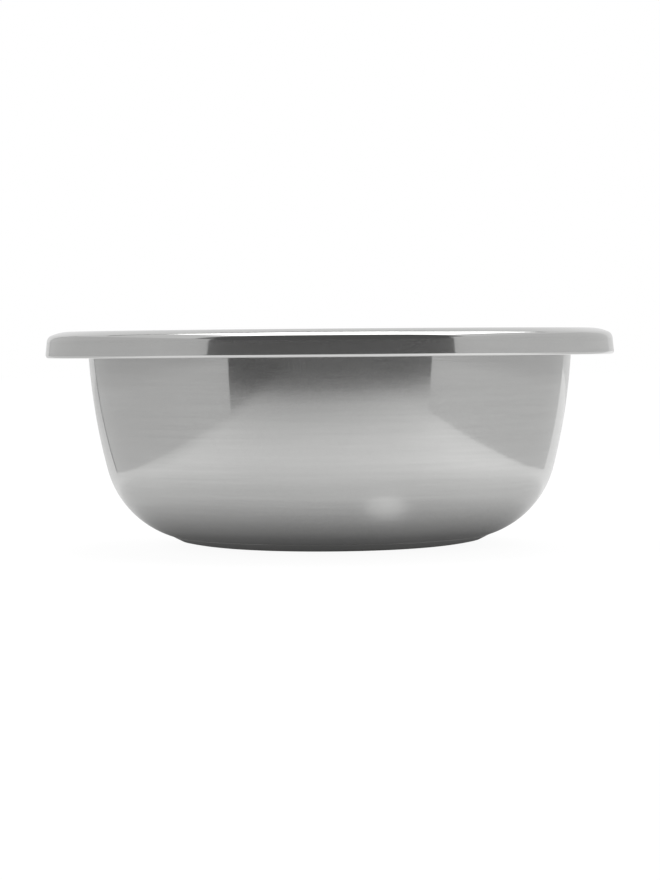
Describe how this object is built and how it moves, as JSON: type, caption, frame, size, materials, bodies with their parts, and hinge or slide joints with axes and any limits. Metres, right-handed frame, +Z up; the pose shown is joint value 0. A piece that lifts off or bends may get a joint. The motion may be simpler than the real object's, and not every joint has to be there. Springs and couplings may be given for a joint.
{
  "type": "shaving bowl",
  "caption": "Shallow pressed stainless steel lather bowl with a wide flat flange, turned-down lip and crowned base disc.",
  "frame": {"origin": "middle of the flat that the bowl stands on", "axes": "+Z up along the bowl's axis of symmetry"},
  "size_m": [0.12, 0.12, 0.0453],
  "materials": {
    "bowl_steel": "satin-polished 18/8 stainless sheet",
    "base_steel": "finely brushed stainless disc"
  },
  "bodies": {
    "root": {"bowl_shell": "bowl_steel", "base_disc": "base_steel"}
  },
  "joints": []
}
